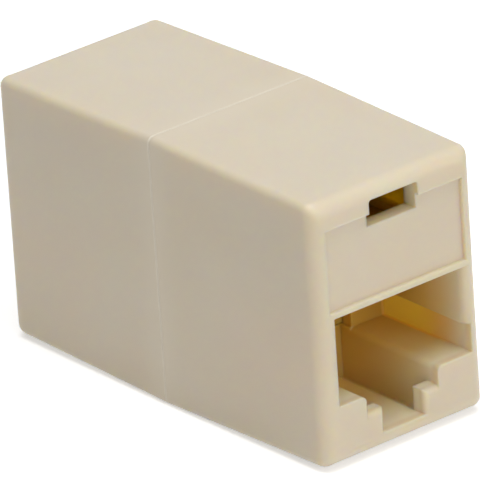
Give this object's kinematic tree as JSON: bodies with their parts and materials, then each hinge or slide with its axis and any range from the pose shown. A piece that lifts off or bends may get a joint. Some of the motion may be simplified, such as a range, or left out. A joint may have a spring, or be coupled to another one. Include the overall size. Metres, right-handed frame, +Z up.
{
  "type": "rj45 inline coupler",
  "caption": "Straight plastic coupler that joins two eight-contact modular network plugs end to end, with a keyed port in each end",
  "frame": {"origin": "bottom centre of the overall box, on the lower line of the rim where the two halves meet", "axes": "+Z up, +Y along the coupler from the front port to the rear port, +X across it"},
  "size_m": [0.015, 0.035, 0.0207],
  "materials": {
    "shell": "ivory moulded plastic, satin",
    "insert": "ivory moulded plastic, satin",
    "board": "green solder mask",
    "solder": "bright tin solder",
    "contact": "gold plated spring strip"
  },
  "bodies": {
    "root": {"front_shell": "shell", "rear_shell": "shell", "front_insert": "insert", "rear_insert": "insert", "circuit_board": "board", "solder_joints": "solder", "front_contact_1": "contact", "front_contact_2": "contact", "front_contact_3": "contact", "front_contact_4": "contact", "front_contact_5": "contact", "front_contact_6": "contact", "front_contact_7": "contact", "front_contact_8": "contact", "rear_contact_1": "contact", "rear_contact_2": "contact", "rear_contact_3": "contact", "rear_contact_4": "contact", "rear_contact_5": "contact", "rear_contact_6": "contact", "rear_contact_7": "contact", "rear_contact_8": "contact"}
  },
  "joints": []
}
